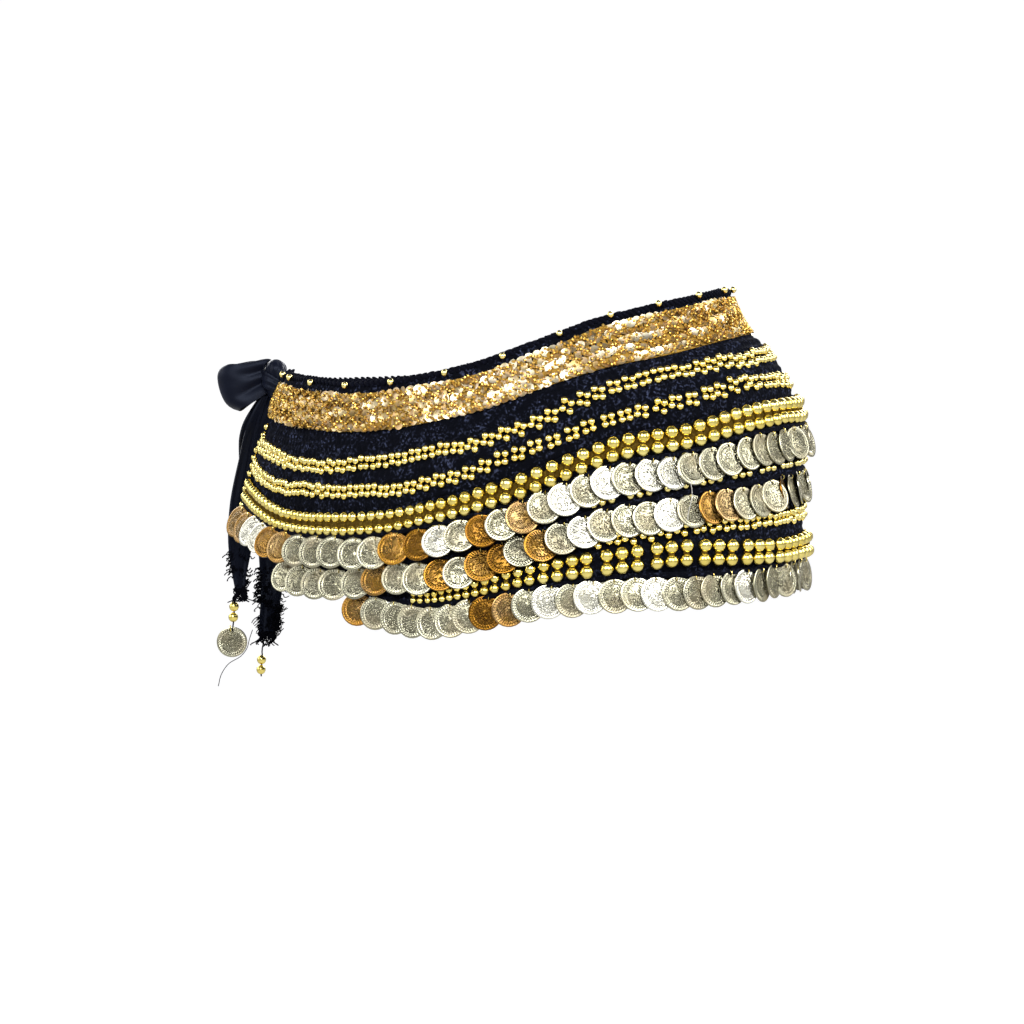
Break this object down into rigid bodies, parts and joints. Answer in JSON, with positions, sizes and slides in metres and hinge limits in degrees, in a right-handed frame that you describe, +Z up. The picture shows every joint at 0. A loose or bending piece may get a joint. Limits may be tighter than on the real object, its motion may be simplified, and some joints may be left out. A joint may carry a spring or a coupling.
{
  "type": "belly dance hip scarf",
  "caption": "Knitted hip scarf worn tied round the hips, with a sequin band, bands of large gold beads, rows of coins and a ribbon bow at one side.",
  "frame": {"origin": "the middle of the wearer's hips, where the body holds the scarf up", "axes": "+Z up; the wearer faces -Y, and the wearer's left is +X"},
  "size_m": [0.3795, 0.2734, 0.234],
  "materials": {
    "knit": "fuzzy chenille yarn",
    "ribbon": "satin",
    "sequins": "metallised gloss",
    "beads": "metallised gold",
    "coins": "stamped and plated pale gold"
  },
  "bodies": {
    "root": {"edge_cord": "knit", "yoke": "knit", "sequin_band": "sequins", "lower_panel": "knit", "bead_band_a": "beads", "bead_band_b": "beads", "coin_row_1": "coins", "coin_row_2": "coins", "coin_row_3": "coins", "knot": "ribbon", "bow_loop": "ribbon", "tail_1": "ribbon", "tail_2": "ribbon", "tail_1_charm": "beads", "tail_2_charm": "beads"}
  },
  "joints": []
}
